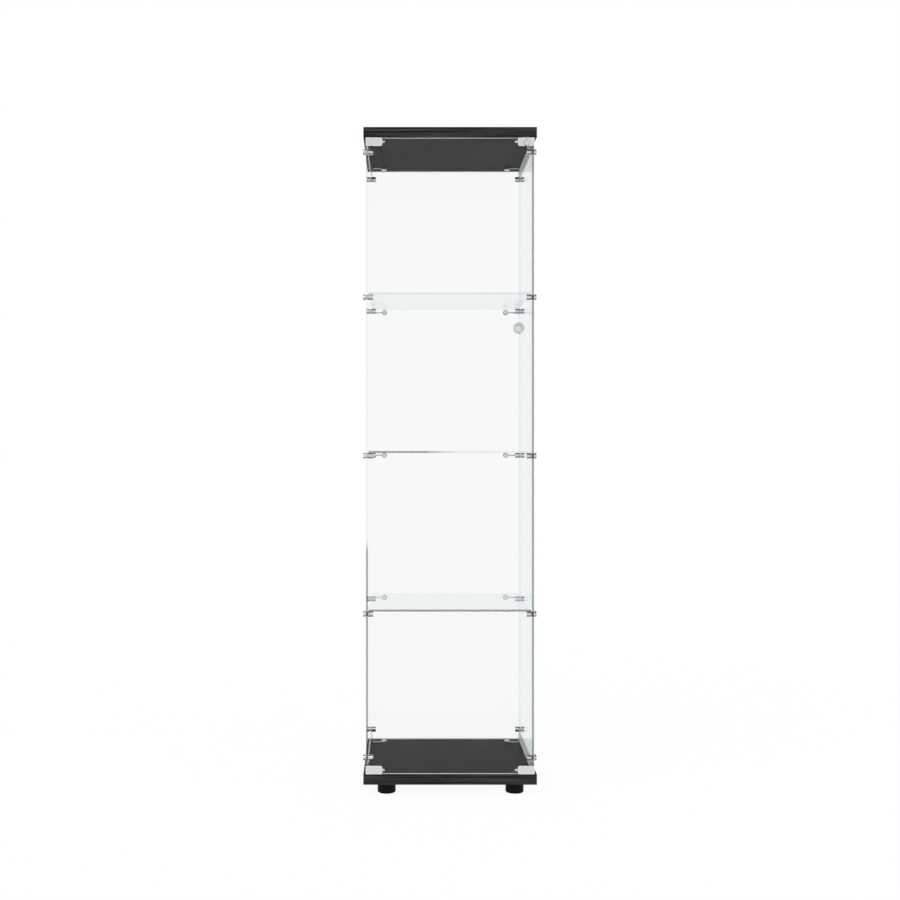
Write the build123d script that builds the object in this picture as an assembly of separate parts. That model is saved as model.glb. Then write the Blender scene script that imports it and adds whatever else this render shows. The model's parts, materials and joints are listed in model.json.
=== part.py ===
from build123d import *
import os

# Frameless glass display cabinet: two wood-grain panels joined by glass walls, three glass
# shelves on through-glass studs, and one frameless door on two pivot hinges, with a knob,
# a cam lock with its key and a magnetic catch.
# Millimetres. +Z is up, the door faces -Y, and +X is to the right of someone facing the door.
# The origin is at floor level under the middle of the whole outline, door furniture included.

# ---- driving dimensions -------------------------------------------------------------------
panel_width = 425.0
panel_depth = 365.0
panel_thickness = 25.0
overall_height = 1640.0
banding = 1.0
banding_edge = 0.5
foot_height = 30.0
furniture_reach = 25.0        # how far the key stands in front of the panels' front edges

glass = 5.0
glass_chamfer = 0.5
wall_gap = 0.3                # between a glass wall's top or bottom edge and the panel beside it
glass_half_width = 206.4      # outer faces of the side walls, and edges of the door and back
side_glass_front = 14.0       # distances called "depth" run back from the panels' front edges
side_glass_rear = 351.5
back_glass_front = 352.0
door_glass_front = 3.0
door_gap = 0.5                # between a panel and the door glass
clamp_gap = 0.6               # between a panel and the corner clamps' flanges
clamp_flange = 1.0
corner_notch_gap = 0.5        # beside the flanges, where the door glass is cut back for them

shelf_half_width = 200.0
shelf_front = 14.0
shelf_rear = 350.0

stud_heights = (91.0, 445.0, 835.0, 1226.0, 1584.0)
stud_depths = (24.0, 320.0)
stud_radius = 7.0
stud_barrel = 10.0
stud_head = 5.5               # the barrel's head, up to the groove
stud_groove = 0.6
stud_cap = 6.6
stud_end_fillet = 1.2
stud_slot = 1.4
stud_slot_depth = 0.9
stud_cover = 2.0              # metal left beyond the end of the stud screw's hole
stud_screw_radius = 2.0
stud_screw_gap = 0.5          # between a stud screw's end and the bottom of its hole
stud_hole_radius = 6.0        # hole in the side glass
stud_sleeve_radius = 5.8
stud_washer_radius = 6.9
thread_clearance = 0.02       # screws are this much smaller in radius than their threaded holes
screw_clearance = 0.1
spare_hole = 1.0              # depth of a panel's screw hole beyond the screw's tip
washer = 1.0
washer_radius = 6.5
glass_hole_radius = 3.0

strap = 1.5                   # thickness of a tie's strap
strap_width = 4.0
strap_bend = 3.0
eye_radius = 7.0
panel_eye_x = 167.0
back_eye_x = 166.0

# A cross recess is given by its width and its depth.
panel_screw_radius = 1.75
panel_screw_length = 13.0
panel_screw_head = 5.0
panel_screw_head_radius = 7.3
panel_screw_fillet = 2.0
panel_screw_recess = (5.0, 1.6)
back_screw_head = 3.0
back_screw_head_radius = 6.6
back_screw_fillet = 1.4
back_screw_recess = (4.6, 1.4)
cap_nut_radius = 5.0
cap_nut = 6.0
cap_nut_fillet = 3.0
cap_nut_cover = 1.5

clamp_inner_x = 166.3
clamp_outer_x = 206.6
clamp_height = 20.5
clamp_plate = 2.0
clamp_back_plate = 1.5
back_plate_inset = (1.0, 3.0)  # how much smaller the plate behind the glass is, along X and Z
clamp_corner = 4.5
clamp_bevel = 0.4
gasket = 1.0
gasket_inset = 0.8
hinge_screw_x = -176.0
catch_screw_x = 195.0
clamp_post_radius = 2.7       # threaded post that stands through the glass from the front plate
clamp_screw_radius = 1.5
clamp_screw_head_radius = 2.9
clamp_screw_head = 1.3
clamp_screw_gap = 0.3         # between a clamp screw's tip and the front plate
clamp_screw_recess = (3.0, 0.9)

pivot_x = -200.4
pivot_radius = 2.5
pivot_reach = 9.0
pivot_floor = 1.0             # bushing left beyond the pin's tip
pivot_tip_gap = 0.3
pivot_tip_chamfer = 0.8
running_clearance = 0.06
bushing_radius = 3.5
bushing_head_radius = 5.0
bushing_head = 0.5

knob_x = 166.6
knob_z = 1146.0
knob_radius = 14.0
knob_height = 19.0
knob_base_radius = 8.0
knob_base = 2.0
knob_widest = 11.5            # the knob flares from its base to this far from the glass
knob_bevel = 1.0
knob_dish = 13.5              # depth of the dish in the knob's front
knob_dish_radius = 7.4        # radius of the dish's floor
knob_groove = 1.0             # width and depth of the groove round that floor
knob_boss_radius = 2.4
knob_boss = 0.8
knob_screw_radius = 2.0
knob_screw_reach = 4.0        # how far the screw stands in the knob
knob_screw_gap = 0.5
knob_screw_head = 2.6
knob_screw_fillet = 1.2
knob_screw_recess = (4.2, 1.2)

lock_x = 187.3
lock_z = 1601.0
lock_nose_radius = 7.2
lock_nose = 2.5
lock_nose_fillet = 0.8
lock_barrel_radius = 5.6
lock_notch_gap = 0.5
plug_radius = 4.2
plug_head_radius = 5.2
plug_head = 1.5
keyway_end = 4.5              # depth of the keyway's closed end
keyway_half_height = 3.7
cam = 2.0
cam_gap = 0.5
cam_reach = 18.0
cam_half_width = 3.2
cam_hub_radius = 4.6
cam_screw_radius = 1.5
cam_screw_head = 1.8
cam_screw_fillet = 0.7
cam_screw_recess = (3.2, 1.0)
cam_screw_cover = 1.0         # plug left between the keyway and the cam screw's hole
cam_screw_gap = 0.2
key_thickness = 2.0
key_edge = 0.3
key_tip_gap = 0.4
key_droop = 2.0               # how far the bow's middle is below the keyway's
key_bow_half_height = 14.5
key_bow_half_length = 9.5
key_ring_radius = 2.0
key_neck_length = 6.0
key_neck_height = 9.0

keeper_x = (lock_x - 22.0, lock_x + 14.0)
keeper_depth = (8.0, 16.0)
keeper_thickness = 1.0
keeper_slot_x = (lock_x - 14.0, lock_x + 6.0)
keeper_slot_depth = (9.5, 14.5)
keeper_slot_height = 7.0
keeper_screw_x = (lock_x - 18.0, lock_x + 10.0)
keeper_screw_radius = 1.25
keeper_screw_length = 10.0

magnet_x = (175.0, 200.0)
magnet_depth = (10.8, 21.0)
magnet_height = 12.0
magnet_wall = 5.0
magnet_corner = 1.5
magnet_size = (4.0, 6.0)      # along Y and Z
magnet_screw_x = (179.5, 195.5)
magnet_screw_depth = 17.5
magnet_screw_radius = 1.5
magnet_screw_head = 2.0
magnet_screw_recess = (3.2, 1.0)
magnet_screw_seat = 9.0
magnet_screw_length = 11.0

foot_x = 159.0
foot_offset = 3.0             # all four feet sit this far to the right of the panels' middle
foot_depths = (48.0, 315.0)
foot_radius = 22.5
foot_fillet = 2.5
foot_recess_radius = 5.5
foot_recess_ceiling = 8.0
foot_screw_radius = 2.25
foot_screw_length = 15.0
foot_screw_head = 3.0
foot_screw_recess = (4.4, 1.4)

# ---- derived places -----------------------------------------------------------------------
front_y = (furniture_reach - panel_depth) / 2
base_top = foot_height + panel_thickness
top_underside = overall_height - panel_thickness
mid_height = (base_top + top_underside) / 2
wall_heights = (base_top + wall_gap, top_underside - wall_gap)
side_glass_inner = glass_half_width - glass
back_glass_rear = back_glass_front + glass
shelf_stud_heights = stud_heights[1:4]
stud_bore_radius = stud_screw_radius + screw_clearance
washer_x = side_glass_inner - washer
barrel_x = washer_x - strap
door_inner = door_glass_front + glass
back_plate_depth = door_inner + gasket
clamp_rear = back_plate_depth + clamp_back_plate
pivot_depth = door_glass_front + glass / 2
clamp_top = top_underside - clamp_gap
clamp_bottom = clamp_top - clamp_height
clamp_middle = (clamp_top + clamp_bottom) / 2
cam_depth = clamp_rear + cam_gap
mirror_height = Plane.XY.offset(mid_height)
foot_places = (foot_offset - foot_x, foot_offset + foot_x)


# ---- helpers ------------------------------------------------------------------------------
def y_at(depth):
    """Y of a distance measured back from the panels' front edges."""
    return front_y + depth


def block(x, depth, z):
    """Box between two X values, two depths and two heights."""
    size = (abs(x[1] - x[0]), depth[1] - depth[0], z[1] - z[0])
    middle = ((x[0] + x[1]) / 2, y_at((depth[0] + depth[1]) / 2), (z[0] + z[1]) / 2)
    return Pos(*middle) * Box(*size)


def rod_x(radius, x, depth, z):
    """Cylinder along X between two X values."""
    return Pos((x[0] + x[1]) / 2, y_at(depth), z) * Rot(0, 90, 0) * Cylinder(radius, abs(x[1] - x[0]))


def rod_y(radius, depth, x, z):
    """Cylinder along Y between two depths."""
    middle = Pos(x, y_at((depth[0] + depth[1]) / 2), z)
    return middle * Rot(90, 0, 0) * Cylinder(radius, depth[1] - depth[0])


def rod_z(radius, z, x, depth):
    """Cylinder along Z between two heights."""
    return Pos(x, y_at(depth), (z[0] + z[1]) / 2) * Cylinder(radius, z[1] - z[0])


def pane(x, depth, z):
    """Glass pane with its polished arrises taken off."""
    sheet = block(x, depth, z)
    return chamfer(sheet.edges(), glass_chamfer)


def cross_recess(size, depth_of_cut):
    """Cutter for a cross-head driver, centred on the origin and opening towards -Y."""
    bar = Box(size, 2 * depth_of_cut, size / 5)
    return bar + Rot(0, 90, 0) * bar


def both_sides(shape):
    """The shape and its mirror image on the other side of the cabinet."""
    return [shape, mirror(shape, about=Plane.YZ)]


def at_base(shape):
    """The shape mirrored from the top of the cabinet to its base."""
    return mirror(shape, about=mirror_height)


def all_corners(shape):
    """The shape at the top right, mirrored to the left and to the base."""
    upper = both_sides(shape)
    return upper + [at_base(piece) for piece in upper]


def group(pieces):
    """Separate solids kept together as one node."""
    return Compound(children=[solid for piece in pieces for solid in piece.solids()])


# ---- panels and their edge banding --------------------------------------------------------
def panel_core(z):
    half = panel_width / 2 - banding
    return block((-half, half), (banding, panel_depth - banding), z)


def edge_banding(z):
    half = panel_width / 2
    outline = block((-half, half), (0, panel_depth), z)
    return fillet(outline.edges(), banding_edge) - panel_core(z)


def tie_screw_holes(z):
    holes = []
    for depth in stud_depths:
        holes += both_sides(rod_z(panel_screw_radius, z, panel_eye_x, depth))
    return group(holes)


def bushing_hole(z):
    return rod_z(bushing_radius, z, pivot_x, pivot_depth)


def top_panel():
    panel = panel_core((top_underside, overall_height))
    panel -= tie_screw_holes((top_underside, top_underside + panel_screw_length + spare_hole))
    panel -= bushing_hole((top_underside, top_underside + pivot_reach + pivot_floor))
    panel -= block(keeper_x, keeper_depth, (top_underside, top_underside + keeper_thickness))
    panel -= block(keeper_slot_x, keeper_slot_depth, (top_underside, top_underside + keeper_slot_height))
    screw_hole = (top_underside, top_underside + keeper_screw_length + spare_hole)
    for x in keeper_screw_x:
        panel -= rod_z(keeper_screw_radius, screw_hole, x, sum(keeper_depth) / 2)
    return panel


def base_panel():
    panel = panel_core((foot_height, base_top))
    panel -= tie_screw_holes((base_top - panel_screw_length - spare_hole, base_top))
    panel -= bushing_hole((base_top - pivot_reach - pivot_floor, base_top))
    for x in magnet_screw_x:
        hole = (base_top - magnet_screw_length - spare_hole, base_top)
        panel -= rod_z(magnet_screw_radius, hole, x, magnet_screw_depth)
    for x in foot_places:
        for depth in foot_depths:
            hole = (foot_height, foot_height + foot_screw_length + spare_hole)
            panel -= rod_z(foot_screw_radius, hole, x, depth)
    return panel


# ---- glass walls and shelves --------------------------------------------------------------
def side_glass(side):
    wall = pane(
        (side * side_glass_inner, side * glass_half_width),
        (side_glass_front, side_glass_rear),
        wall_heights,
    )
    for depth in stud_depths:
        for height in stud_heights:
            hole_x = (side * (side_glass_inner - 1), side * (glass_half_width + 1))
            wall -= rod_x(stud_hole_radius, hole_x, depth, height)
    return wall


def back_glass():
    wall = pane(
        (-glass_half_width, glass_half_width),
        (back_glass_front, back_glass_rear),
        wall_heights,
    )
    for side in (-1, 1):
        for height in shelf_stud_heights:
            hole_depth = (back_glass_front - 1, back_glass_rear + 1)
            wall -= rod_y(glass_hole_radius, hole_depth, side * back_eye_x, height)
    return wall


def shelf(stud_height):
    underside = stud_height + stud_radius
    return pane(
        (-shelf_half_width, shelf_half_width),
        (shelf_front, shelf_rear),
        (underside, underside + glass),
    )


# ---- through-glass studs ------------------------------------------------------------------
def stud_barrels():
    pieces = []
    for depth in stud_depths:
        for height in stud_heights:
            end_x = barrel_x - stud_barrel
            barrel = rod_x(stud_radius, (end_x, barrel_x), depth, height)
            barrel = fillet(barrel.edges().sort_by(Axis.X)[0], stud_end_fillet)
            groove_x = (end_x + stud_head, end_x + stud_head + stud_groove)
            groove = rod_x(stud_radius + 1, groove_x, depth, height)
            barrel -= groove - rod_x(stud_radius - stud_groove, groove_x, depth, height)
            barrel -= rod_x(stud_screw_radius, (end_x + stud_cover, barrel_x), depth, height)
            pieces += both_sides(barrel)
    return group(pieces)


def stud_caps():
    inner = glass_half_width + washer
    outer = inner + stud_cap
    pieces = []
    for depth in stud_depths:
        for height in stud_heights:
            cap = rod_x(stud_radius, (inner, outer), depth, height)
            cap = fillet(cap.edges().sort_by(Axis.X)[-1], stud_end_fillet)
            cap -= rod_x(stud_screw_radius, (inner, outer - stud_cover), depth, height)
            slot_depth = (depth - stud_radius, depth + stud_radius)
            slot_z = (height - stud_slot / 2, height + stud_slot / 2)
            cap -= block((outer - stud_slot_depth, outer), slot_depth, slot_z)
            pieces += both_sides(cap)
    return group(pieces)


def stud_screws():
    buried = stud_cover + stud_screw_gap
    ends = (barrel_x - stud_barrel + buried, glass_half_width + washer + stud_cap - buried)
    pieces = []
    for depth in stud_depths:
        for height in stud_heights:
            radius = stud_screw_radius - thread_clearance
            pieces += both_sides(rod_x(radius, ends, depth, height))
    return group(pieces)


def stud_washers():
    pieces = []
    for depth in stud_depths:
        for height in stud_heights:
            for x in (washer_x, glass_half_width):
                ring = rod_x(stud_washer_radius, (x, x + washer), depth, height)
                ring -= rod_x(stud_bore_radius, (x, x + washer), depth, height)
                pieces += both_sides(ring)
    return group(pieces)


def stud_sleeves():
    """Metal sleeves that fill the side glass's holes round the stud screws."""
    ends = (side_glass_inner, glass_half_width)
    pieces = []
    for depth in stud_depths:
        for height in stud_heights:
            sleeve = rod_x(stud_sleeve_radius, ends, depth, height)
            pieces += both_sides(sleeve - rod_x(stud_bore_radius, ends, depth, height))
    return group(pieces)


def stud_spacers():
    """Metal rings that take a tie's place on the front shelf studs."""
    depth = stud_depths[0]
    pieces = []
    for height in shelf_stud_heights:
        ring = rod_x(stud_radius, (barrel_x, washer_x), depth, height)
        ring -= rod_x(stud_bore_radius, (barrel_x, washer_x), depth, height)
        pieces += both_sides(ring)
    return group(pieces)


# ---- ties ---------------------------------------------------------------------------------
def bent_strap(start, corner, end):
    """L-shaped strap in the XY plane, with its width along Z."""
    path = FilletPolyline(start, corner, end, radius=strap_bend)
    return extrude(trace(path, line_width=strap), amount=strap_width / 2, both=True)


def shelf_tie(height):
    """Right-hand tie from a rear shelf stud round the corner to the back glass."""
    stud_depth = stud_depths[1]
    strap_x = (barrel_x + washer_x) / 2
    eye_depth = (back_glass_front - washer - strap, back_glass_front - washer)
    strap_y = y_at(sum(eye_depth) / 2)
    tie = bent_strap((strap_x, y_at(stud_depth)), (strap_x, strap_y), (back_eye_x, strap_y))
    tie = Pos(0, 0, height) * tie
    tie += rod_x(eye_radius, (barrel_x, washer_x), stud_depth, height)
    tie += rod_y(eye_radius, eye_depth, back_eye_x, height)
    tie -= rod_x(stud_bore_radius, (barrel_x - 1, washer_x + 1), stud_depth, height)
    tie -= rod_y(stud_bore_radius, (eye_depth[0] - 1, eye_depth[1] + 1), back_eye_x, height)
    return tie


def shelf_ties():
    pieces = []
    for height in shelf_stud_heights:
        pieces += both_sides(shelf_tie(height))
    return group(pieces)


def panel_tie(depth, rise):
    """Right-hand tie to the top panel's underside from a stud that far below it."""
    height = top_underside - rise
    strap_x = (barrel_x + washer_x) / 2
    strap_z = top_underside - strap / 2
    tie = bent_strap((strap_x, height), (strap_x, strap_z), (panel_eye_x, strap_z))
    tie = Pos(0, y_at(depth), 0) * Rot(90, 0, 0) * tie
    tie += rod_x(eye_radius, (barrel_x, washer_x), depth, height)
    tie += rod_z(eye_radius, (top_underside - strap, top_underside), panel_eye_x, depth)
    tie -= rod_x(stud_bore_radius, (barrel_x - 1, washer_x + 1), depth, height)
    bore = panel_screw_radius + screw_clearance
    return tie - rod_z(bore, (top_underside - strap - 1, top_underside + 1), panel_eye_x, depth)


def panel_ties(depth):
    """The four ties at one depth: two under the top panel and two on the base panel."""
    upper = both_sides(panel_tie(depth, top_underside - stud_heights[-1]))
    lower = both_sides(panel_tie(depth, stud_heights[0] - base_top))
    return group(upper + [at_base(tie) for tie in lower])


def panel_tie_screws():
    pieces = []
    seat = top_underside - strap
    tip = top_underside + panel_screw_length
    radius = panel_screw_radius - thread_clearance
    for depth in stud_depths:
        head = rod_z(panel_screw_head_radius, (seat - panel_screw_head, seat), panel_eye_x, depth)
        head = fillet(head.edges().filter_by(GeomType.CIRCLE), panel_screw_fillet)
        face = Pos(panel_eye_x, y_at(depth), seat - panel_screw_head) * Rot(90, 0, 0)
        shank = rod_z(radius, (seat, tip), panel_eye_x, depth)
        pieces += all_corners(head + shank - face * cross_recess(*panel_screw_recess))
    return group(pieces)


def back_tie_screws():
    seat = back_glass_front - washer - strap
    tip = back_glass_rear + washer + cap_nut - cap_nut_cover - stud_screw_gap
    radius = stud_screw_radius - thread_clearance
    pieces = []
    for height in shelf_stud_heights:
        head = rod_y(back_screw_head_radius, (seat - back_screw_head, seat), back_eye_x, height)
        head = fillet(head.edges().sort_by(Axis.Y)[0], back_screw_fillet)
        face = Pos(back_eye_x, y_at(seat - back_screw_head), height)
        shank = rod_y(radius, (seat, tip), back_eye_x, height)
        pieces += both_sides(head + shank - face * cross_recess(*back_screw_recess))
    return group(pieces)


def back_tie_nuts():
    seat = back_glass_rear + washer
    end = seat + cap_nut
    pieces = []
    for height in shelf_stud_heights:
        nut = rod_y(cap_nut_radius, (seat, end), back_eye_x, height)
        nut = fillet(nut.edges().sort_by(Axis.Y)[-1], cap_nut_fillet)
        nut -= rod_y(stud_screw_radius, (seat, end - cap_nut_cover), back_eye_x, height)
        pieces += both_sides(nut)
    return group(pieces)


def back_tie_washers():
    pieces = []
    for height in shelf_stud_heights:
        for depth in (back_glass_front - washer, back_glass_rear):
            ring = rod_y(washer_radius, (depth, depth + washer), back_eye_x, height)
            ring -= rod_y(stud_bore_radius, (depth, depth + washer), back_eye_x, height)
            pieces += both_sides(ring)
    return group(pieces)


# ---- feet ---------------------------------------------------------------------------------
def foot(x, depth):
    body = rod_z(foot_radius, (0, foot_height), x, depth)
    body = fillet(body.edges().sort_by(Axis.Z)[0], foot_fillet)
    body -= rod_z(foot_recess_radius, (0, foot_height - foot_recess_ceiling), x, depth)
    return body - rod_z(foot_screw_radius + screw_clearance, (0, foot_height), x, depth)


def foot_screws():
    seat = foot_height - foot_recess_ceiling
    face_z = seat - foot_screw_head
    tip = foot_height + foot_screw_length
    pieces = []
    for x in foot_places:
        for depth in foot_depths:
            head = rod_z(2 * foot_screw_radius, (face_z, seat), x, depth)
            shank = rod_z(foot_screw_radius - thread_clearance, (seat, tip), x, depth)
            face = Pos(x, y_at(depth), face_z) * Rot(90, 0, 0)
            pieces.append(head + shank - face * cross_recess(*foot_screw_recess))
    return group(pieces)


# ---- door glass ---------------------------------------------------------------------------
def door_glass():
    sheet = pane(
        (-glass_half_width, glass_half_width),
        (door_glass_front, door_inner),
        (base_top + door_gap, top_underside - door_gap),
    )
    through = (door_glass_front - 1, door_inner + 1)
    hinge_hole = rod_y(glass_hole_radius, through, hinge_screw_x, clamp_middle)
    sheet -= hinge_hole
    sheet -= at_base(hinge_hole)
    sheet -= at_base(rod_y(glass_hole_radius, through, catch_screw_x, clamp_middle))
    sheet -= rod_y(glass_hole_radius, through, knob_x, knob_z)
    notch = lock_barrel_radius + lock_notch_gap
    sheet -= rod_y(notch, through, lock_x, lock_z)
    sheet -= block((lock_x - notch, lock_x + notch), through, (lock_z, top_underside))
    notch_x = (clamp_inner_x - corner_notch_gap, panel_width / 2)
    for corner in all_corners(block(notch_x, through, (clamp_top - clamp_flange, top_underside))):
        sheet -= corner
    return sheet


# ---- corner clamps: hinges, lock case and catch -------------------------------------------
# Each is made at its real side of the door's top edge. The base ones are mirrored from there.
def clamp_front(side):
    """Front plate with the flange that lies over the door glass's edge."""
    outline_x = (side * clamp_inner_x, side * clamp_outer_x)
    plate = block(outline_x, (0, clamp_plate), (clamp_bottom, clamp_top))
    inner_edges = plate.edges().filter_by(Axis.Y).sort_by(lambda e: abs(e.center().X))[:2]
    plate = fillet(inner_edges, clamp_corner)
    plate = chamfer(plate.faces().sort_by(Axis.Y)[0].edges(), clamp_bevel)
    flange_z = (clamp_top - clamp_flange, clamp_top)
    return plate + block(outline_x, (clamp_plate - 0.5, back_plate_depth), flange_z)


def behind_glass(side, shrink, depth):
    """Block behind the door glass, smaller than the back plate by that much."""
    inner_x = clamp_inner_x + back_plate_inset[0] + shrink
    bottom = clamp_bottom + back_plate_inset[1] + shrink
    return block((side * inner_x, side * -pivot_x), depth, (bottom, clamp_top - clamp_flange))


def clamp_back(side):
    plate = behind_glass(side, 0, (back_plate_depth, clamp_rear))
    edges = plate.edges().filter_by(Axis.Y).sort_by(lambda e: abs(e.center().X))[:2]
    return fillet(edges, clamp_corner)


def clamp_gaskets(side, hole_radius, hole_x, hole_z):
    """Soft pads between the plates and the two faces of the glass."""
    heights = (clamp_bottom + gasket_inset, clamp_top - clamp_flange)
    front_x = (side * (clamp_inner_x + gasket_inset), side * glass_half_width)
    front = block(front_x, (clamp_plate, door_glass_front), heights)
    rear = behind_glass(side, gasket_inset, (door_inner, back_plate_depth))
    hole = rod_y(hole_radius, (0, clamp_rear), hole_x, hole_z)
    return [front - hole, rear - hole]


def screwed_clamp(side, x):
    """Front plate with a threaded post, so that its screw goes in from behind."""
    post = rod_y(clamp_post_radius, (clamp_plate - 0.5, back_plate_depth), x, clamp_middle)
    thread = rod_y(clamp_screw_radius, (clamp_plate, clamp_rear), x, clamp_middle)
    return clamp_front(side) + post - thread


def countersink(radius, x):
    """Cone that widens to the clamp's rear face."""
    middle = Pos(x, y_at(clamp_rear - clamp_screw_head / 2), clamp_middle)
    return middle * Rot(-90, 0, 0) * Cone(radius, clamp_screw_head_radius, clamp_screw_head)


def screwed_back(side, x):
    """Back plate with a countersunk screw hole."""
    bore = clamp_screw_radius + screw_clearance
    return clamp_back(side) - rod_y(bore, (0, clamp_rear), x, clamp_middle) - countersink(bore, x)


def clamp_screw(x):
    radius = clamp_screw_radius - thread_clearance
    shank = rod_y(radius, (clamp_plate + clamp_screw_gap, clamp_rear), x, clamp_middle)
    recess = Pos(x, y_at(clamp_rear), clamp_middle) * cross_recess(*clamp_screw_recess)
    return shank + countersink(radius, x) - recess


def hinge_clamp():
    ends = (clamp_top - clamp_flange, clamp_top)
    socket = rod_z(pivot_radius + thread_clearance, ends, pivot_x, pivot_depth)
    return screwed_clamp(-1, hinge_screw_x) - socket


def pivot_pin():
    ends = (clamp_top - clamp_flange, top_underside + pivot_reach)
    pin = rod_z(pivot_radius, ends, pivot_x, pivot_depth)
    return chamfer(pin.edges().sort_by(Axis.Z)[-1], pivot_tip_chamfer)


def pivot_bushing():
    rim = top_underside - bushing_head
    end = top_underside + pivot_reach + pivot_floor
    body = rod_z(bushing_radius - thread_clearance, (top_underside, end), pivot_x, pivot_depth)
    body += rod_z(bushing_head_radius, (rim, top_underside), pivot_x, pivot_depth)
    bore = (rim, end - pivot_floor + pivot_tip_gap)
    return body - rod_z(pivot_radius + running_clearance, bore, pivot_x, pivot_depth)


def hinge_gaskets():
    upper = clamp_gaskets(-1, clamp_post_radius + screw_clearance, hinge_screw_x, clamp_middle)
    return group(upper + [at_base(pad) for pad in upper])


def hinge_screws():
    screw = clamp_screw(hinge_screw_x)
    return group([screw, at_base(screw)])


# ---- catch at the lower free corner -------------------------------------------------------
def catch_gaskets():
    pads = clamp_gaskets(1, clamp_post_radius + screw_clearance, catch_screw_x, clamp_middle)
    return group([at_base(pad) for pad in pads])


def magnet_pocket():
    x = (magnet_x[0] + magnet_wall, magnet_x[1] - magnet_wall)
    floor = base_top + (magnet_height - magnet_size[1]) / 2
    return block(x, (magnet_depth[0], magnet_depth[0] + magnet_size[0]), (floor, floor + magnet_size[1]))


def magnet_housing():
    housing = block(magnet_x, magnet_depth, (base_top, base_top + magnet_height))
    housing = fillet(housing.edges().filter_by(Axis.Z), magnet_corner)
    housing -= magnet_pocket()
    seat = base_top + magnet_screw_seat
    rim = base_top + magnet_height
    bore = magnet_screw_radius + screw_clearance
    for x in magnet_screw_x:
        housing -= rod_z(bore, (base_top, rim), x, magnet_screw_depth)
        housing -= rod_z(2 * bore, (seat, rim), x, magnet_screw_depth)
    return housing


def magnet_screws():
    seat = base_top + magnet_screw_seat
    face_z = seat + magnet_screw_head
    tip = base_top - magnet_screw_length
    pieces = []
    for x in magnet_screw_x:
        head = rod_z(2 * magnet_screw_radius, (seat, face_z), x, magnet_screw_depth)
        shank = rod_z(magnet_screw_radius - thread_clearance, (tip, seat), x, magnet_screw_depth)
        face = Pos(x, y_at(magnet_screw_depth), face_z) * Rot(90, 0, 0)
        pieces.append(head + shank - face * cross_recess(*magnet_screw_recess))
    return group(pieces)


# ---- lock at the upper free corner --------------------------------------------------------
def lock_case():
    case = clamp_front(1)
    nose = rod_y(lock_nose_radius, (-lock_nose, clamp_plate), lock_x, lock_z)
    case += fillet(nose.edges().sort_by(Axis.Y)[0], lock_nose_fillet)
    case += rod_y(lock_barrel_radius, (clamp_plate, clamp_rear), lock_x, lock_z)
    case -= rod_y(plug_radius + running_clearance, (-lock_nose, clamp_rear), lock_x, lock_z)
    head = plug_head_radius + running_clearance
    return case - rod_y(head, (-lock_nose, plug_head + screw_clearance - lock_nose), lock_x, lock_z)


def lock_back_plate():
    """Back plate cut into a fork that straddles the lock's barrel."""
    hole = rod_y(lock_barrel_radius + thread_clearance, (0, clamp_rear + 1), lock_x, lock_z)
    return clamp_back(1) - hole


def lock_gaskets():
    return group(clamp_gaskets(1, lock_barrel_radius + screw_clearance, lock_x, lock_z))


def lock_plug():
    plug = rod_y(plug_radius, (-lock_nose, cam_depth), lock_x, lock_z)
    plug += rod_y(plug_head_radius, (-lock_nose, plug_head - lock_nose), lock_x, lock_z)
    half = key_thickness / 2 + screw_clearance
    keyway_z = (lock_z - keyway_half_height, lock_z + keyway_half_height)
    plug -= block((lock_x - half, lock_x + half), (-lock_nose, keyway_end), keyway_z)
    return plug - rod_y(cam_screw_radius, (keyway_end + cam_screw_cover, cam_depth), lock_x, lock_z)


def lock_cam():
    tip_x = lock_x - cam_reach + cam_half_width
    depth = (cam_depth, cam_depth + cam)
    arm = rod_y(cam_hub_radius, depth, lock_x, lock_z) + rod_y(cam_half_width, depth, tip_x, lock_z)
    arm += block((tip_x, lock_x), depth, (lock_z - cam_half_width, lock_z + cam_half_width))
    return arm - rod_y(cam_screw_radius + screw_clearance, depth, lock_x, lock_z)


def cam_screw():
    seat = cam_depth + cam
    end = seat + cam_screw_head
    tip = keyway_end + cam_screw_cover + cam_screw_gap
    head = rod_y(2 * cam_screw_radius, (seat, end), lock_x, lock_z)
    head = fillet(head.edges().sort_by(Axis.Y)[-1], cam_screw_fillet)
    shank = rod_y(cam_screw_radius - thread_clearance, (tip, seat), lock_x, lock_z)
    return head + shank - Pos(lock_x, y_at(end), lock_z) * cross_recess(*cam_screw_recess)


def key():
    bow_centre = key_bow_half_length - furniture_reach
    bow_z = lock_z - key_droop
    bow = Pos(y_at(bow_centre), bow_z) * Ellipse(key_bow_half_length, key_bow_half_height)
    neck_middle = -lock_nose - key_neck_length / 2
    neck = Pos(y_at(neck_middle), lock_z) * Rectangle(key_neck_length, key_neck_height)
    ring_hole = Pos(y_at(bow_centre - key_bow_half_length / 2), bow_z) * Circle(key_ring_radius)
    half = key_thickness / 2
    head = extrude(Plane.YZ * (bow + neck - ring_hole), amount=half, both=True)
    head = chamfer(head.edges().group_by(Axis.X)[0] + head.edges().group_by(Axis.X)[-1], key_edge)
    blade_half = keyway_half_height - 2 * screw_clearance
    blade_depth = (-lock_nose - key_neck_length / 2, keyway_end - key_tip_gap)
    blade = block((-half, half), blade_depth, (lock_z - blade_half, lock_z + blade_half))
    return Pos(lock_x, 0, 0) * (head + blade)


def keeper_cone(x, radius):
    """Countersink through the keeper plate, widest at its lower face."""
    middle = Pos(x, y_at(sum(keeper_depth) / 2), top_underside + keeper_thickness / 2)
    return middle * Cone(radius + keeper_thickness, radius, keeper_thickness)


def lock_keeper():
    plate = block(keeper_x, keeper_depth, (top_underside, top_underside + keeper_thickness))
    plate -= block(keeper_slot_x, keeper_slot_depth, (top_underside, top_underside + keeper_thickness))
    for x in keeper_screw_x:
        plate -= keeper_cone(x, keeper_screw_radius + thread_clearance)
    return plate


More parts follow.
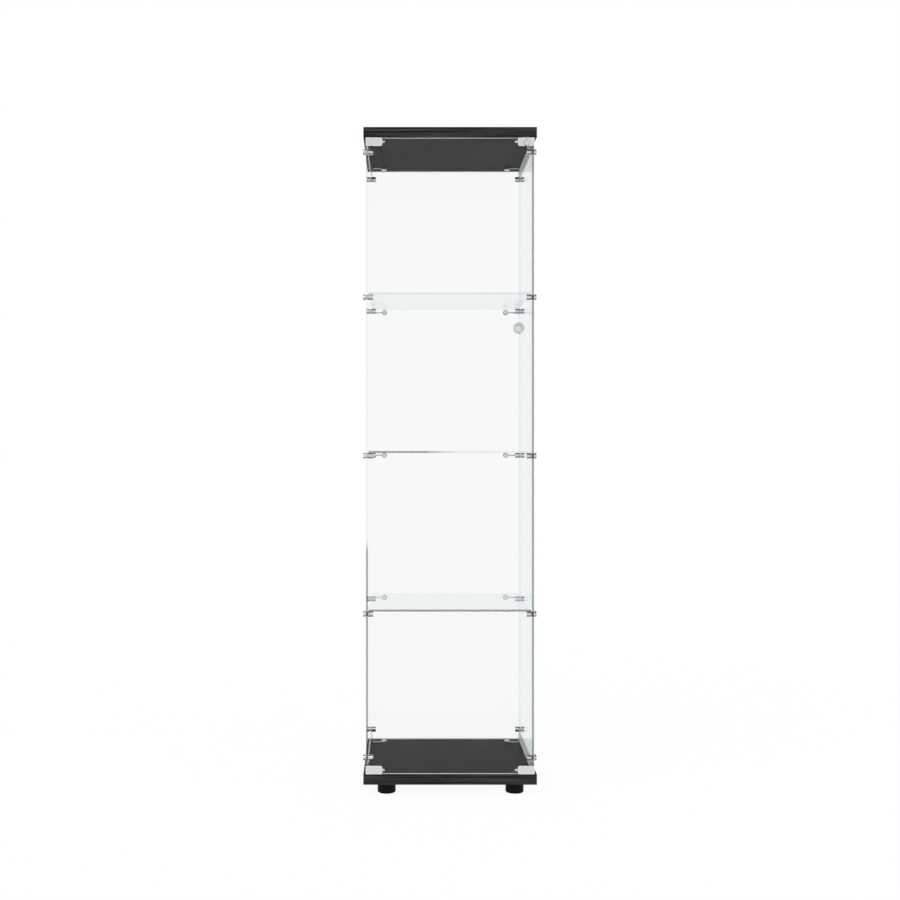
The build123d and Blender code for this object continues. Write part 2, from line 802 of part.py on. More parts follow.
def keeper_screws():
    radius = keeper_screw_radius - thread_clearance
    ends = (top_underside + keeper_thickness, top_underside + keeper_screw_length)
    pieces = []
    for x in keeper_screw_x:
        shank = rod_z(radius, ends, x, sum(keeper_depth) / 2)
        pieces.append(keeper_cone(x, radius) + shank)
    return group(pieces)


# ---- knob ---------------------------------------------------------------------------------
def door_knob():
    """Turned cup-shaped knob: a narrow base, a flared body and a deep dish in its front."""
    floor = knob_dish - knob_height
    groove_end = floor + knob_groove
    ring = knob_dish_radius - knob_groove
    outline = Polyline(
        (0, 0),
        (knob_base_radius, 0),
        (knob_base_radius, -knob_base),
        (knob_radius, -knob_widest),
        (knob_radius, knob_bevel - knob_height),
        (knob_radius - knob_bevel, -knob_height),
        (knob_radius - 2 * knob_bevel, -knob_height),
        (knob_dish_radius, floor),
        (knob_dish_radius, groove_end),
        (ring, groove_end),
        (ring, floor),
        (knob_boss_radius, floor),
        (knob_boss_radius, floor - knob_boss),
        (0, floor - knob_boss),
        close=True,
    )
    knob = Pos(knob_x, y_at(door_glass_front - washer), knob_z) * revolve(make_face(outline), axis=Axis.Y)
    back = door_glass_front - washer
    hole = (back - knob_screw_reach - knob_screw_gap, back)
    return knob - rod_y(knob_screw_radius, hole, knob_x, knob_z)


def knob_washers():
    pieces = []
    for depth in (door_glass_front - washer, door_inner):
        ring = rod_y(washer_radius, (depth, depth + washer), knob_x, knob_z)
        bore = knob_screw_radius + screw_clearance
        pieces.append(ring - rod_y(bore, (depth, depth + washer), knob_x, knob_z))
    return group(pieces)


def knob_screw():
    seat = door_inner + washer
    end = seat + knob_screw_head
    tip = door_glass_front - washer - knob_screw_reach
    head = rod_y(2 * knob_screw_radius, (seat, end), knob_x, knob_z)
    head = fillet(head.edges().sort_by(Axis.Y)[-1], knob_screw_fillet)
    shank = rod_y(knob_screw_radius - thread_clearance, (tip, seat), knob_x, knob_z)
    return head + shank - Pos(knob_x, y_at(end), knob_z) * cross_recess(*knob_screw_recess)


# ---- all nodes ----------------------------------------------------------------------------
def make_nodes():
    nodes = {
        "top_panel": top_panel(),
        "base_panel": base_panel(),
        "top_edge_banding": edge_banding((top_underside, overall_height)),
        "base_edge_banding": edge_banding((foot_height, base_top)),
        "left_side_glass": side_glass(-1),
        "right_side_glass": side_glass(1),
        "back_glass": back_glass(),
        "lower_shelf": shelf(shelf_stud_heights[0]),
        "middle_shelf": shelf(shelf_stud_heights[1]),
        "upper_shelf": shelf(shelf_stud_heights[2]),
        "stud_barrels": stud_barrels(),
        "stud_caps": stud_caps(),
        "stud_screws": stud_screws(),
        "stud_washers": stud_washers(),
        "stud_sleeves": stud_sleeves(),
        "stud_spacers": stud_spacers(),
        "shelf_corner_ties": shelf_ties(),
        "front_panel_ties": panel_ties(stud_depths[0]),
        "rear_panel_ties": panel_ties(stud_depths[1]),
        "panel_tie_screws": panel_tie_screws(),
        "back_tie_screws": back_tie_screws(),
        "back_tie_nuts": back_tie_nuts(),
        "back_tie_washers": back_tie_washers(),
        "foot_screws": foot_screws(),
        "top_pivot_bushing": pivot_bushing(),
        "bottom_pivot_bushing": at_base(pivot_bushing()),
        "lock_keeper": lock_keeper(),
        "keeper_screws": keeper_screws(),
        "magnet_housing": magnet_housing(),
        "catch_magnet": magnet_pocket(),
        "magnet_screws": magnet_screws(),
        "door_glass": door_glass(),
        "top_hinge_clamp": hinge_clamp(),
        "bottom_hinge_clamp": at_base(hinge_clamp()),
        "top_hinge_back_plate": screwed_back(-1, hinge_screw_x),
        "bottom_hinge_back_plate": at_base(screwed_back(-1, hinge_screw_x)),
        "top_pivot_pin": pivot_pin(),
        "bottom_pivot_pin": at_base(pivot_pin()),
        "hinge_gaskets": hinge_gaskets(),
        "hinge_screws": hinge_screws(),
        "door_knob": door_knob(),
        "knob_washers": knob_washers(),
        "knob_screw": knob_screw(),
        "catch_clamp": at_base(screwed_clamp(1, catch_screw_x)),
        "catch_strike_plate": at_base(screwed_back(1, catch_screw_x)),
        "catch_gaskets": catch_gaskets(),
        "catch_screw": at_base(clamp_screw(catch_screw_x)),
        "lock_case": lock_case(),
        "lock_back_plate": lock_back_plate(),
        "lock_gaskets": lock_gaskets(),
        "lock_plug": lock_plug(),
        "lock_cam": lock_cam(),
        "cam_screw": cam_screw(),
        "key": key(),
    }
    for row, depth in zip(("front", "rear"), foot_depths):
        for name, x in zip(("left", "right"), foot_places):
            nodes[f"{row}_{name}_foot"] = foot(x, depth)
    return nodes


os.makedirs("parts", exist_ok=True)
for node, shape in make_nodes().items():
    export_step(shape, f"parts/{node}.step")
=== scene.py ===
import json
import math

import bpy
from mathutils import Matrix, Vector


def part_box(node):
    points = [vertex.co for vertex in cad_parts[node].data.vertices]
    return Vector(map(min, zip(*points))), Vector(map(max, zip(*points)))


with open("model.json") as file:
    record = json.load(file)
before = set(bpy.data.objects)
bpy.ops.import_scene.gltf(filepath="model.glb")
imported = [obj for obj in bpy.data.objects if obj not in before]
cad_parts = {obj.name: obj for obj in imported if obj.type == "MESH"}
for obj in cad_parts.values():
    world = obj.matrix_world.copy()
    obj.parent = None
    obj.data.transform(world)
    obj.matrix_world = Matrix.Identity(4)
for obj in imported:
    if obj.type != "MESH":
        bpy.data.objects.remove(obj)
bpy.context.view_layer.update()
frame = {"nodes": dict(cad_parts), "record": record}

# A frameless glass display cabinet. Every piece comes from the frame. This script gives each its
# material, and makes the floor, the surround, the lights and the camera. Metres.

scene = bpy.context.scene
nodes = frame["nodes"]


# ---- places taken from the frame ------------------------------------------------------------
def middle_of(node):
    low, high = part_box(node)
    return (low + high) / 2


panel_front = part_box("top_edge_banding")[0].y
base_panel_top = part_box("base_edge_banding")[1].z
wall_middle = middle_of("right_side_glass").z
wall_reach = wall_middle - base_panel_top       # from the walls' middle height to either panel
door_middle = middle_of("door_glass").z
door_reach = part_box("door_glass")[1].z - door_middle
shelf_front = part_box("lower_shelf")[0].y
upper_shelf_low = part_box("upper_shelf")[0].z
knob_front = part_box("door_knob")[0].y

# ---- camera: level, facing the panels' front edges squarely, a little left of the middle ----
CAMERA_DISTANCE = 2.890
CAMERA_LEFT = 0.1153
CAMERA_HEIGHT = 0.8494
CAMERA_LENS = 47.24
CAMERA_SHIFT = 0.0522

# ---- studio ---------------------------------------------------------------------------------
BACKDROP = 1.005            # radiance of the pale surround near the horizon
FRONT_SHADE = 0.92          # radiance of the surround behind the camera
FRONT_FADE = (0.55, 0.97)   # how far a direction leans to -Y where one turns into the other
ZENITH_SHADE = 0.22         # how much is left of the surround's light straight above
ZENITH_FADE = (0.40, 0.75)  # how far a direction leans upwards where it dims
FLOOR_ALBEDO = 0.10
FLOOR_GLOW = 0.93           # the floor's own light, seen along it
FLOOR_GLOW_DOWN = 0.30      # the same, seen from straight above
FLOOR_FADE = (0.15, 0.50)   # how slanting the view is where one turns into the other
FLOOR_SIZE = 400.0

# ---- glass ----------------------------------------------------------------------------------
PANE_IOR = 1.2
PANE_TINT = (0.968, 0.970, 0.970)
WALL_TINT = (0.90, 0.935, 0.95)
# painted light: the left wall is the same glass as the right, given a paler tint for the brighter look
# through it
LEFT_WALL_PAINTED_LIGHT_TINT = (0.985, 0.995, 0.995)
SHELF_TINT = (0.895, 0.927, 0.932)
GREY_EDGE = (0.155, 0.165, 0.165)
DARK_EDGE = (0.115, 0.125, 0.122)
# painted reflection: pale colour for a front edge where it mirrors the bright surround, fixed by place, so
# it does not move with the view
PAINTED_REFLECTION_EDGE = (0.86, 0.88, 0.88)
ARRIS_LINE = (0.45, 0.47, 0.47)
SQUARE_ON = 0.9             # a surface faces an axis when it is squarer to it than this
FRONT_EDGE_DEPTH = 0.002    # how far behind the shelves' front a pane's front edge still reaches
# where the left wall's, the middle shelf's and the upper shelf's front edges turn to that painted
# reflection
LEFT_EDGE_CHANGE = (0.600, 0.630)
MIDDLE_SHELF_CHANGE = (-0.06, 0.02)
ARRIS_HEIGHT = (0.0010, 0.0014)

GROUND_DARK = (0.84, 0.87, 0.87)
GROUND_LIGHT = (0.95, 0.97, 0.97)
GROUND_GRIT = 2200.0
GROUND_ROUGHNESS = 0.4
GROUND_FROM = 0.2040        # the walls' top and bottom edges are ground this far from the middle
GROUND_BAND = 0.0012        # height of the ground band along the door's top and bottom edges
WALL_GROUND_CLEARNESS = 0.02
PANE_GROUND_CLEARNESS = 0.2
PAINTED_REFLECTION_VEIL = 0.96                 # how much of what lies behind the right wall is covered beside the panels by a pale painted reflection
PAINTED_REFLECTION_REACH = 0.030          # how far from the panels the painted reflection reaches
PAINTED_REFLECTION_FADE = (0.76, 0.85)    # how slanting the view is where the painted reflection sets in

# ---- metal ----------------------------------------------------------------------------------
PLATE_FACE = (0.70, 0.705, 0.71)
PLATE_PAINTED_HIGHLIGHT = (0.93, 0.935, 0.94)
PAINTED_HIGHLIGHT_WIDTH = 0.0018          # width of the painted highlight along the corner plates' outline
LOCK_NOSE = 0.0068          # radius of the joint round the lock's nose
JOINT_FADE = (0.0004, 0.0010)
KNOB_DISH = 0.0135          # depth of the dish in the knob's front
DISH_RADIUS = 0.0078        # a little more than the radius of that dish's floor
KNOB_RIM = 0.0015           # how far back the painted shade on the knob's rim goes
KNOB_RIM_FADE = 0.001
# where the painted shade on the dish's floor and in its groove sets in
DISH_FLOOR_FADE = (-0.0016, -0.0010)    # both measured back from the dish's floor
DISH_GROOVE_FADE = (0.0002, 0.0006)
# where the painted shade on the back screws' sides sets in
PAINTED_SIDE_SHADE_FADE = (0.90, 0.99)


# ---- node helpers ---------------------------------------------------------------------------
def fill(node, **values):
    """Fills or links a node's inputs. An input goes by its name, with _ for a space, or by its
    number, as in i0."""
    for key, value in values.items():
        by_number = key[0] == "i" and key[1:].isdigit()
        socket = node.inputs[int(key[1:]) if by_number else key.replace("_", " ")]
        if isinstance(value, bpy.types.NodeSocket):
            node.id_data.links.new(value, socket)
        else:
            socket.default_value = value


def add(tree, kind, settings=None, **inputs):
    """Adds a shader node, with its settings and its inputs."""
    made = tree.nodes.new("ShaderNode" + kind)
    for key, value in (settings or {}).items():
        setattr(made, key, value)
    fill(made, **inputs)
    return made


def numbered(values):
    return {f"i{index}": value for index, value in enumerate(values)}


def maths(tree, operation, *values):
    return add(tree, "Math", {"operation": operation}, **numbered(values)).outputs[0]


def vector_maths(tree, operation, *values, result="Vector"):
    return add(tree, "VectorMath", {"operation": operation}, **numbered(values)).outputs[result]


def remap(tree, value, start, end, low=0.0, high=1.0, kind="LINEAR"):
    """Maps start to end onto low to high, and holds low or high beyond them."""
    made = add(tree, "MapRange", {"interpolation_type": kind}, i0=value, i1=start, i2=end, i3=low, i4=high)
    return made.outputs["Result"]


def mix(tree, factor, first, second):
    """Mixes two colours or vectors, each a plain colour or a socket."""
    made = add(tree, "Mix", {"data_type": "RGBA"}, i0=factor)
    first, second = (c if isinstance(c, bpy.types.NodeSocket) else (*c, 1) for c in (first, second))
    fill(made, i6=first, i7=second)
    return made.outputs[2]


def shade(colour, factor):
    return tuple(c * factor for c in colour)


def material(name):
    """A new node material, with its tree and its empty Principled shader."""
    made = bpy.data.materials.new(name)
    made.use_nodes = True
    tree = made.node_tree
    shader = next(n for n in tree.nodes if n.type == "BSDF_PRINCIPLED")
    return made, tree, shader


def object_place(tree):
    return add(tree, "TexCoord").outputs["Object"]


def stretched(tree, vector, scale):
    return add(tree, "Mapping", Vector=vector, Scale=scale).outputs["Vector"]


def along_axis(tree, vector, axis):
    return add(tree, "SeparateXYZ", Vector=vector).outputs[axis]


def facing(tree, axis):
    """How squarely a surface faces along one of the object's own axes, from 0 to 1."""
    normal = add(tree, "TexCoord").outputs["Normal"]
    return maths(tree, "ABSOLUTE", along_axis(tree, normal, axis))


def away_from_height(tree, height):
    there = along_axis(tree, object_place(tree), "Z")
    return maths(tree, "ABSOLUTE", maths(tree, "SUBTRACT", there, height))


def away_from_axis(tree, centre):
    """Distance from the line along Y through a centre."""
    away = vector_maths(tree, "SUBTRACT", object_place(tree), centre)
    level = vector_maths(tree, "MULTIPLY", away, (1, 0, 1))
    return vector_maths(tree, "LENGTH", level, result="Value")


def noise(tree, vector, scale, detail=4.0, roughness=0.55):
    made = add(tree, "TexNoise", Vector=vector, Scale=scale, Detail=detail, Roughness=roughness)
    return made.outputs["Fac"]


def spread(tree, value, low, high, start=0.35, end=0.65):
    """Maps a noise value to a range."""
    return remap(tree, value, start, end, low, high)


def blend_colours(tree, factor, first, second):
    ramp = add(tree, "ValToRGB", Fac=factor)
    ramp.color_ramp.elements[0].color = (*first, 1)
    ramp.color_ramp.elements[1].color = (*second, 1)
    return ramp.outputs["Color"]


def bump(tree, shader, height, distance):
    made = add(tree, "Bump", Height=height, Distance=distance, Strength=1.0)
    fill(shader, Normal=made.outputs["Normal"])


# ---- glass ----------------------------------------------------------------------------------
def ground_colour(tree):
    grit = noise(tree, object_place(tree), GROUND_GRIT, detail=2.0)
    return mix(tree, grit, GROUND_DARK, GROUND_LIGHT)


def cloudy_sheet(tree, tint, depth):
    """A pane's faint cloud, and its colour, which is darker by depth at the cloud's low end."""
    cloud = noise(tree, object_place(tree), 6.0, detail=2.0)
    return cloud, mix(tree, cloud, shade(tint, 1 - depth), tint)


def on_front_edge(tree, axis):
    """1 on the front cut edge of a pane whose faces lie square to an axis, and 0 elsewhere."""
    on_edge = maths(tree, "LESS_THAN", facing(tree, axis), SQUARE_ON)
    back = along_axis(tree, object_place(tree), "Y")
    return maths(tree, "MULTIPLY", on_edge, maths(tree, "LESS_THAN", back, shelf_front + FRONT_EDGE_DEPTH))


def on_ground_ends(tree):
    """1 on the outer part of a wall's top and bottom edges, and 0 elsewhere."""
    level = maths(tree, "GREATER_THAN", facing(tree, "Z"), 0.5)
    across = maths(tree, "ABSOLUTE", along_axis(tree, object_place(tree), "X"))
    return maths(tree, "MULTIPLY", level, maths(tree, "GREATER_THAN", across, GROUND_FROM))


def painted_reflection_beside_panels(tree, veil):
    """A painted reflection: a pale veil where a wall is seen nearly along its face, close to the top or
    base panel.
    """
    slant = add(tree, "LayerWeight", Blend=0.5).outputs["Facing"]
    seen_along = remap(tree, slant, *PAINTED_REFLECTION_FADE, 0.0, veil)
    close = remap(
        tree, away_from_height(tree, wall_middle), wall_reach - PAINTED_REFLECTION_REACH, wall_reach - PAINTED_REFLECTION_REACH / 2
    )
    return maths(tree, "MULTIPLY", seen_along, close)


def tinted_glass(name, axis, face, edge, change=None, ground_ends=False, veil=0.0):
    """Thin clear pane with a tinted front cut edge. Its faces lie square to one axis. With change,
    the edge turns to a pale painted reflection, fixed by place: an axis, two places along it, and the
    colour."""
    made, tree, shader = material(name)
    cloud, sheet = cloudy_sheet(tree, face, 0.006)
    if change:
        along, start, end, other = change
        # painted reflection: the edge turns pale between two places along an axis
        edge = mix(tree, remap(tree, along_axis(tree, object_place(tree), along), start, end), edge, other)
    colour = mix(tree, on_front_edge(tree, axis), sheet, edge)
    polish = spread(tree, cloud, 0.0, 0.012)
    clear = 1.0
    if ground_ends:
        hidden = on_ground_ends(tree)
        polish = remap(tree, hidden, 0.0, 1.0, polish, GROUND_ROUGHNESS)
        # painted reflection: beside the panels the veil makes the right wall pale and nearly opaque
        if veil:
            hidden = maths(tree, "MAXIMUM", hidden, painted_reflection_beside_panels(tree, veil))
        colour = mix(tree, hidden, colour, ground_colour(tree))
        clear = remap(tree, hidden, 0.0, 1.0, 1.0, WALL_GROUND_CLEARNESS)
    fill(shader, Base_Color=colour, Roughness=polish, Transmission_Weight=clear)
    fill(shader, IOR=1.0, Coat_Weight=0.3, Coat_Roughness=0.02)
    return made


def ground_edge_glass(name, band=None):
    """Clear pane square to Y that bends and mirrors light. Its edges are finely ground, and with
    band, a middle height and a distance, so is what lies farther from that height."""
    made, tree, shader = material(name)
    cloud, sheet = cloudy_sheet(tree, PANE_TINT, 0.005)
    edges = maths(tree, "LESS_THAN", facing(tree, "Y"), SQUARE_ON)
    if band:
        middle, reach = band
        beyond = maths(tree, "GREATER_THAN", away_from_height(tree, middle), reach)
        edges = maths(tree, "MAXIMUM", edges, beyond)
    fill(shader, Base_Color=mix(tree, edges, sheet, ground_colour(tree)), IOR=PANE_IOR)
    fill(shader, Transmission_Weight=remap(tree, edges, 0.0, 1.0, 1.0, PANE_GROUND_CLEARNESS))
    fill(shader, Roughness=remap(tree, edges, 0.0, 1.0, 0.0, GROUND_ROUGHNESS))
    return made


# ---- boards ---------------------------------------------------------------------------------
def woodgrain(name, dark, light, across, start, end):
    """Matt laminate with its grain along X, or along Y on the faces square to X. The number of
    streaks per metre goes by across, and start and end are the grain's heights at which the
    colour is darkest and lightest."""
    made, tree, shader = material(name)
    place = object_place(tree)
    parts = add(tree, "SeparateXYZ", Vector=place).outputs
    turned = add(tree, "CombineXYZ", X=parts["Y"], Y=parts["X"], Z=parts["Z"]).outputs[0]
    on_side = maths(tree, "GREATER_THAN", facing(tree, "X"), 0.7)
    along = mix(tree, on_side, place, turned)
    streaks = noise(tree, stretched(tree, along, (4, across, across)), 1.0, detail=6.0, roughness=0.62)
    fine = noise(tree, stretched(tree, along, (5, 420, 420)), 1.0, detail=3.0, roughness=0.6)
    grain = maths(tree, "MULTIPLY_ADD", fine, 0.35, streaks)
    fill(
        shader,
        Base_Color=blend_colours(tree, spread(tree, grain, 0, 1, start, end), dark, light),
        Roughness=spread(tree, streaks, 0.50, 0.64),
        Specular_IOR_Level=0.06,
    )
    bump(tree, shader, fine, 0.00003)
    return made


# ---- metals ---------------------------------------------------------------------------------
def finish_metal(tree, shader, colour, marks, smoothest, roughest, depth=0.00001):
    fill(shader, Base_Color=colour, Roughness=spread(tree, marks, smoothest, roughest), Metallic=1.0)
    bump(tree, shader, marks, depth)


def metal(name, colour, roughness, grain=(900, 900, 900), depth=0.00001):
    """Metal with fine tool marks: the grain's scale along X, Y and Z sets their direction."""
    made, tree, shader = material(name)
    marks = noise(tree, stretched(tree, object_place(tree), grain), 1.0, detail=3.0, roughness=0.6)
    patches = noise(tree, object_place(tree), 60.0, detail=2.0)
    worn = blend_colours(tree, spread(tree, patches, 0, 1), shade(colour, 0.94), colour)
    finish_metal(tree, shader, worn, marks, roughness * 0.8, roughness * 1.25, depth)
    return made


def knob_metal(colour, roughness):
    """Turned metal with fine rings round the knob's axis. It has painted shade on the rim and on the
    floor of the dish, and a little painted shade in the groove there."""
    made, tree, shader = material("knob_metal")
    radius = away_from_axis(tree, middle_of("door_knob"))
    rings = add(tree, "CombineXYZ", X=radius).outputs[0]
    marks = noise(tree, rings, 2600.0, detail=3.0, roughness=0.6)
    depth = along_axis(tree, object_place(tree), "Y")
    inside = maths(tree, "LESS_THAN", radius, DISH_RADIUS)
    floor = knob_front + KNOB_DISH
    painted_shade_floor, painted_shade_groove = (
        maths(tree, "MULTIPLY", remap(tree, depth, floor + start, floor + end), inside)
        for start, end in (DISH_FLOOR_FADE, DISH_GROOVE_FADE)
    )
    rim = knob_front + KNOB_RIM
    painted_shade_rim = remap(tree, depth, rim, rim + KNOB_RIM_FADE, 1.0, 0.0)
    turned = blend_colours(tree, spread(tree, marks, 0, 1), shade(colour, 0.94), colour)
    # painted shade: darker copies of the turned colour on the rim, the dish's floor and its groove
    turned = mix(tree, painted_shade_rim, turned, shade(colour, 0.76))
    turned = mix(tree, painted_shade_floor, turned, shade(colour, 0.78))
    turned = mix(tree, painted_shade_groove, turned, shade(colour, 0.86))
    finish_metal(tree, shader, turned, marks, roughness * 0.8, roughness * 1.25)
    return made


def painted_side_shade_metal(name, face, rim):
    """Plated metal that is light on faces square to Y, with painted shade on the faces round them."""
    made, tree, shader = material(name)
    marks = noise(tree, object_place(tree), 900.0, detail=3.0)
    square = remap(tree, facing(tree, "Y"), *PAINTED_SIDE_SHADE_FADE)
    worn = mix(tree, marks, shade(face, 0.92), face)
    # painted shade: faces not square to Y take the dark rim colour
    finish_metal(tree, shader, mix(tree, square, rim, worn), marks, 0.18, 0.30)
    return made


def corner_plate_metal(node, nose=None):
    """Satin plate seen square to Y, with a painted highlight along its outline. With nose, the node that
    turns in its round nose, it has a dark joint round that."""
    made, tree, shader = material(node + "_metal")
    low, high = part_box(node)
    half = (high - low) / 2
    grain = stretched(tree, object_place(tree), (120, 1500, 1500))
    marks = noise(tree, grain, 1.0, detail=3.0, roughness=0.6)
    away = vector_maths(tree, "SUBTRACT", object_place(tree), middle_of(node))
    away = add(tree, "SeparateXYZ", Vector=vector_maths(tree, "ABSOLUTE", away)).outputs
    near_end, near_side = (
        remap(tree, away[axis], reach - PAINTED_HIGHLIGHT_WIDTH, reach - PAINTED_HIGHLIGHT_WIDTH / 2)
        for axis, reach in (("X", half.x), ("Z", half.z))
    )
    worn = mix(tree, marks, shade(PLATE_FACE, 0.94), PLATE_FACE)
    # painted highlight: lighter colour along the outline, standing for the light a bevelled edge catches
    colour = mix(tree, maths(tree, "MAXIMUM", near_end, near_side), worn, PLATE_PAINTED_HIGHLIGHT)
    if nose:
        off = maths(tree, "SUBTRACT", away_from_axis(tree, middle_of(nose)), LOCK_NOSE)
        joint = remap(tree, maths(tree, "ABSOLUTE", off), *JOINT_FADE, 1.0, 0.0)
        colour = mix(tree, joint, colour, shade(PLATE_FACE, 0.5))
    finish_metal(tree, shader, colour, marks, 0.20, 0.32, 0.000015)
    return made


# ---- plastics -------------------------------------------------------------------------------
def plastic(name, colour, roughness, texture=1400.0, depth=0.00003, specular=0.4):
    made, tree, shader = material(name)
    pores = noise(tree, object_place(tree), texture, detail=2.0)
    patches = noise(tree, object_place(tree), 35.0, detail=3.0)
    lighter = tuple(min(1, c * 1.12 + 0.002) for c in colour)
    fill(
        shader,
        Base_Color=blend_colours(tree, spread(tree, patches, 0, 1), colour, lighter),
        Roughness=spread(tree, pores, roughness * 0.88, roughness * 1.12),
        Specular_IOR_Level=specular,
    )
    bump(tree, shader, pores, depth)
    return made


def clear_pvc():
    made, tree, shader = material("clear_pvc")
    cloud = noise(tree, object_place(tree), 300.0)
    fill(
        shader,
        Base_Color=blend_colours(tree, cloud, (0.84, 0.87, 0.88), (0.93, 0.95, 0.95)),
        Roughness=spread(tree, cloud, 0.12, 0.28),
        Transmission_Weight=0.85,
        IOR=1.45,
    )
    return made


# ---- which piece has which finish -----------------------------------------------------------
def slot_finishes():
    """One material for each material slot in the record."""
    return {
        "clear_glass": ground_edge_glass("clear_glass"),
        "black_woodgrain_board": woodgrain(
            "black_woodgrain_board", (0.009, 0.0102, 0.0098), (0.021, 0.0228, 0.0222), 60, 0.52, 0.88
        ),
        "black_edge_band": woodgrain(
            "black_edge_band", (0.009, 0.0104, 0.0099), (0.062, 0.0665, 0.065), 240, 0.58, 0.86
        ),
        "polished_steel": metal("polished_steel", (0.70, 0.705, 0.71), 0.07),
        "satin_zinc": metal(
            "satin_zinc", (0.70, 0.705, 0.71), 0.26, grain=(120, 1500, 1500), depth=0.000015
        ),
        "bare_steel": metal(
            "bare_steel", (0.58, 0.59, 0.60), 0.34, grain=(80, 1600, 1600), depth=0.00002
        ),
        "screw_steel": metal("screw_steel", (0.70, 0.71, 0.73), 0.24),
        "plated_lock_metal": metal("plated_lock_metal", (0.78, 0.78, 0.785), 0.18),
        "clear_pvc": clear_pvc(),
        "white_nylon": plastic("white_nylon", (0.78, 0.78, 0.76), 0.45),
        "dark_magnet": plastic("dark_magnet", (0.05, 0.05, 0.055), 0.6, texture=2600.0, depth=0.00005),
        "black_plastic": plastic("black_plastic", (0.003, 0.003, 0.0034), 0.5, specular=0.08),
    }


def own_finishes():
    """Materials for the nodes that look different from their slot."""
    tie_steel = metal("tie_steel", (0.66, 0.665, 0.67), 0.16)
    # painted light: the front panel ties get a lighter copy of the tie steel, standing for the stronger
    # light on them
    front_tie_steel_painted_light = metal("front_tie_steel_painted_light", (0.84, 0.845, 0.85), 0.22)
    return {
        "top_hinge_clamp": corner_plate_metal("top_hinge_clamp"),
        "bottom_hinge_clamp": corner_plate_metal("bottom_hinge_clamp"),
        "catch_clamp": corner_plate_metal("catch_clamp"),
        "lock_case": corner_plate_metal("lock_case", nose="lock_plug"),
        "door_knob": knob_metal((0.96, 0.965, 0.97), 0.38),
        "shelf_corner_ties": tie_steel,
        "front_panel_ties": front_tie_steel_painted_light,
        "rear_panel_ties": tie_steel,
        "back_tie_screws": painted_side_shade_metal(
            "back_screw_metal", (0.76, 0.765, 0.77), (0.045, 0.047, 0.05)
        ),
        "door_glass": ground_edge_glass("door_pane", (door_middle, door_reach - GROUND_BAND)),
        "right_side_glass": tinted_glass(
            "right_wall_glass", "X", WALL_TINT, GREY_EDGE, ground_ends=True, veil=PAINTED_REFLECTION_VEIL
        ),
        "left_side_glass": tinted_glass(
            "left_wall_glass", "X", LEFT_WALL_PAINTED_LIGHT_TINT, GREY_EDGE,
            change=("Z", *LEFT_EDGE_CHANGE, PAINTED_REFLECTION_EDGE), ground_ends=True,
        ),
        "lower_shelf": tinted_glass("lower_shelf_glass", "Z", SHELF_TINT, DARK_EDGE),
        "middle_shelf": tinted_glass(
            "middle_shelf_glass", "Z", SHELF_TINT, GREY_EDGE,
            change=("X", *MIDDLE_SHELF_CHANGE, PAINTED_REFLECTION_EDGE),
        ),
        "upper_shelf": tinted_glass(
            "upper_shelf_glass", "Z", SHELF_TINT, ARRIS_LINE,
            change=("Z", *(upper_shelf_low + height for height in ARRIS_HEIGHT), PAINTED_REFLECTION_EDGE),
        ),
    }


def dress_pieces():
    by_slot = slot_finishes()
    by_node = own_finishes()
    for row in frame["record"]["subparts"]:
        shown = nodes[row["node"]]
        shown.data.materials.clear()
        shown.data.materials.append(by_node.get(row["node"], by_slot[row["material_slot"]]))


# ---- floor, surround, lights and camera -----------------------------------------------------
def pale_floor():
    bpy.ops.mesh.primitive_plane_add(size=FLOOR_SIZE, location=(0, 0, 0))
    floor = bpy.context.object
    floor.name = "studio_floor"
    made = bpy.data.materials.new("pale_floor")
    made.use_nodes = True
    tree = made.node_tree
    tree.nodes.clear()
    matt = add(tree, "BsdfDiffuse", Color=(FLOOR_ALBEDO, FLOOR_ALBEDO, FLOOR_ALBEDO, 1))
    slant = add(tree, "LayerWeight", Blend=0.5).outputs["Facing"]
    level = remap(tree, slant, *FLOOR_FADE, FLOOR_GLOW_DOWN, FLOOR_GLOW)
    glow = add(tree, "Emission", Color=(1, 1, 1, 1), Strength=level)
    both = add(tree, "AddShader", i0=matt.outputs[0], i1=glow.outputs[0])
    add(tree, "OutputMaterial", Surface=both.outputs[0])
    floor.data.materials.append(made)


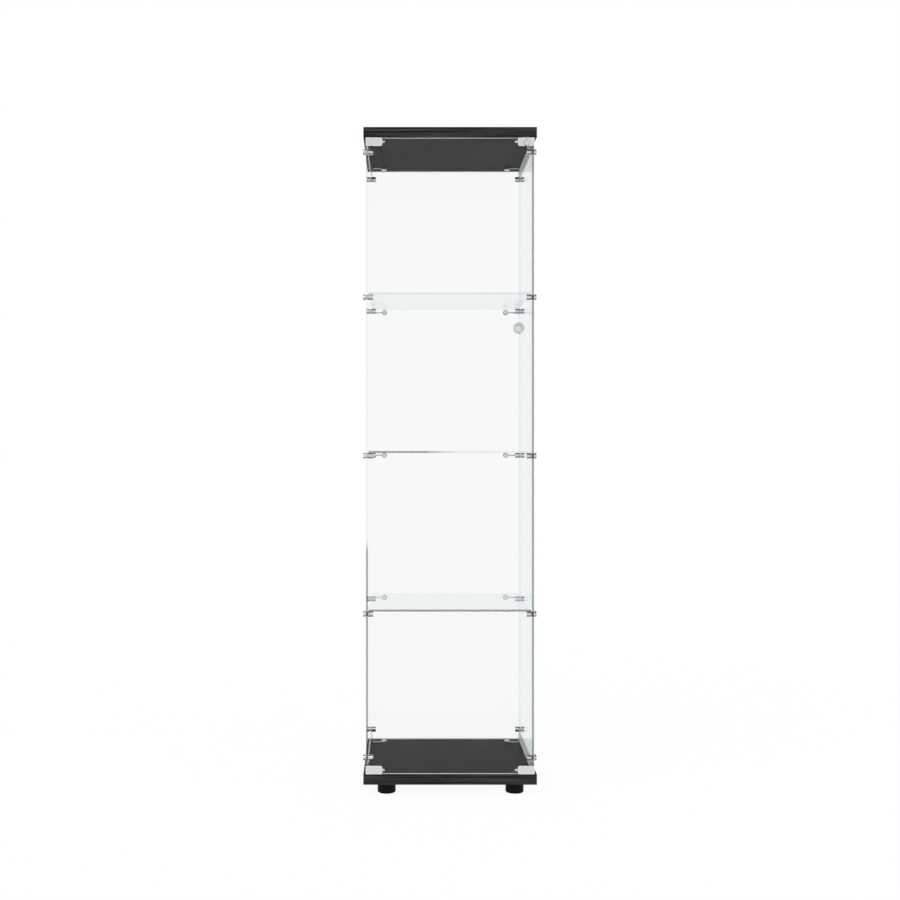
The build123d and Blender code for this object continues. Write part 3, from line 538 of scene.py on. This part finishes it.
def surround():
    """A pale surround: brightest at the horizon, softer overhead and behind the camera."""
    world = bpy.data.worlds.new("pale_surround")
    world.use_nodes = True
    scene.world = world
    tree = world.node_tree
    tree.nodes.clear()
    direction = add(tree, "TexCoord").outputs["Generated"]
    split = add(tree, "SeparateXYZ", Vector=direction).outputs
    forward = maths(tree, "MULTIPLY", split["Y"], -1.0)
    front = remap(tree, forward, *FRONT_FADE, BACKDROP, FRONT_SHADE, kind="SMOOTHSTEP")
    above = remap(tree, split["Z"], *ZENITH_FADE, 1.0, ZENITH_SHADE, kind="SMOOTHSTEP")
    glow = add(tree, "Background", Color=(1, 1, 1, 1), Strength=maths(tree, "MULTIPLY", front, above))
    add(tree, "OutputWorld", Surface=glow.outputs[0])


def soft_sun(name, azimuth, elevation, strength, softness):
    """A broad sun. Azimuth 0 is in front, and grows to the right. Angles are in degrees."""
    light = bpy.data.lights.new(name, "SUN")
    light.energy = strength
    light.angle = math.radians(softness)
    holder = bpy.data.objects.new(name, light)
    scene.collection.objects.link(holder)
    a, e = math.radians(azimuth), math.radians(elevation)
    towards = Vector((math.sin(a) * math.cos(e), -math.cos(a) * math.cos(e), math.sin(e)))
    holder.rotation_mode = "QUATERNION"
    holder.rotation_quaternion = towards.to_track_quat("Z", "Y")


def make_camera():
    camera = bpy.data.objects.new("camera", bpy.data.cameras.new("camera"))
    scene.collection.objects.link(camera)
    camera.location = (-CAMERA_LEFT, panel_front - CAMERA_DISTANCE, CAMERA_HEIGHT)
    camera.rotation_euler = (math.radians(90), 0, 0)
    camera.data.lens = CAMERA_LENS
    camera.data.sensor_width = 36.0
    camera.data.shift_x = CAMERA_SHIFT
    camera.data.clip_end = FLOOR_SIZE
    scene.camera = camera


dress_pieces()
pale_floor()
surround()
soft_sun("key_light", -35, 48, 0.9, 50)
soft_sun("fill_light", 50, 30, 0.35, 60)
make_camera()
scene.view_settings.view_transform = "Standard"
scene.cycles.max_bounces = 32
scene.cycles.transmission_bounces = 28
scene.cycles.glossy_bounces = 12
